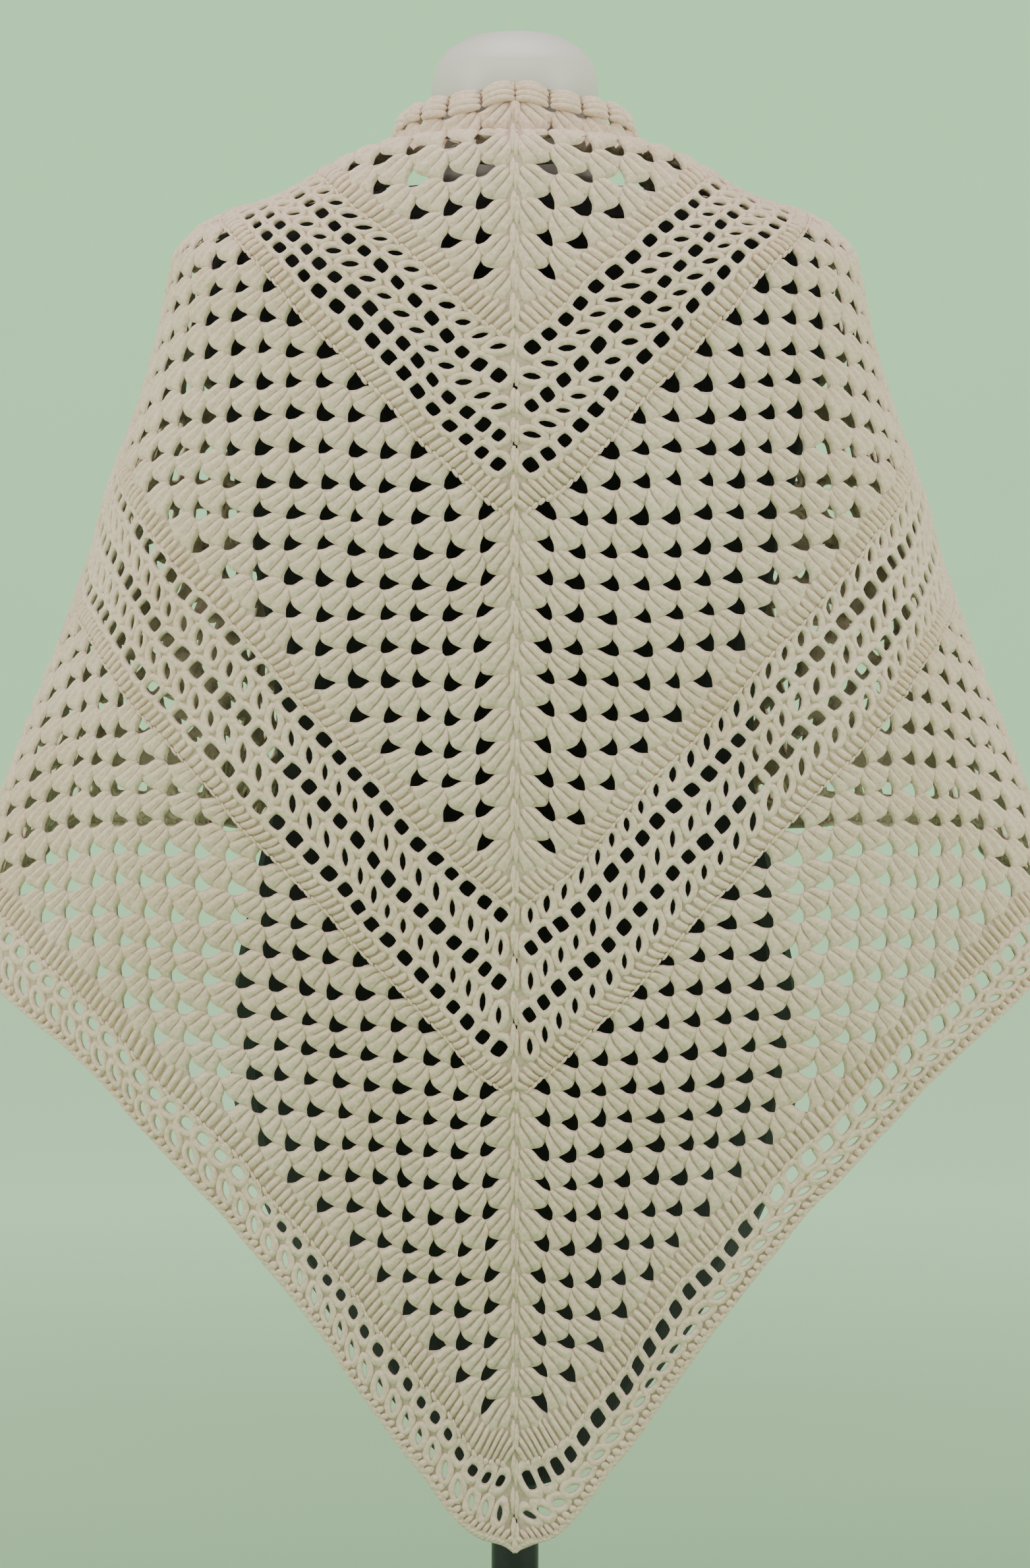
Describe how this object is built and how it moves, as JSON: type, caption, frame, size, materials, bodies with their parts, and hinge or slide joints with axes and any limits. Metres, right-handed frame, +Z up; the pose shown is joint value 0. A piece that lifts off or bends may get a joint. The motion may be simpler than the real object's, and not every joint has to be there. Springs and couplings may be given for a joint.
{
  "type": "crocheted triangular lace shawl on a limbless dress form",
  "caption": "Triangular openwork shawl draped round the shoulders of a dress form on a pole stand, long point at the back.",
  "frame": {"origin": "centre of the underside of the stand's base plate, on the floor", "axes": "+Z up along the stand's pole, +Y towards the open front of the shawl, the long back point towards -Y"},
  "size_m": [0.7342, 0.4217, 1.11],
  "materials": {
    "yarn": "matte",
    "edging": "matte",
    "jersey": "matte",
    "neck_cover": "satin",
    "stand": "satin"
  },
  "bodies": {
    "root": {"shawl_left": "yarn", "shawl_right": "yarn", "hem_edging_left": "edging", "hem_edging_right": "edging", "form_body": "jersey", "form_neck": "neck_cover", "stand_pole": "stand", "stand_base": "stand"}
  },
  "joints": []
}
